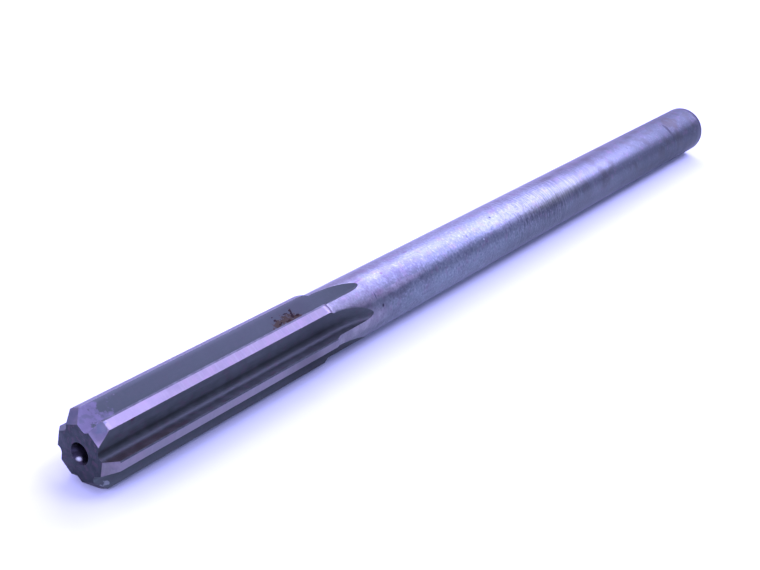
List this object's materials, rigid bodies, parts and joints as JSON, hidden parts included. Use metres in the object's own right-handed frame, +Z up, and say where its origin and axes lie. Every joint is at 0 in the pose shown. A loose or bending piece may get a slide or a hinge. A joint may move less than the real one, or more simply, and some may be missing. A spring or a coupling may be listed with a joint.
{
  "type": "reamer",
  "caption": "Straight-flute chucking reamer with a parallel shank, chamfered cutting teeth, milled flutes that run out into the shank, and centre holes in both ends.",
  "frame": {"origin": "middle of the length, on the surface the tool lies on", "axes": "+X along the tool axis from the cutting end towards the shank end, +Z up with the tool lying on two land corners"},
  "size_m": [0.2032, 0.012, 0.0111],
  "materials": {
    "high_speed_steel": "ground shank and lands, darker milled flutes, light wear and a small rust patch"
  },
  "bodies": {
    "root": {"reamer": "high_speed_steel"}
  },
  "joints": []
}
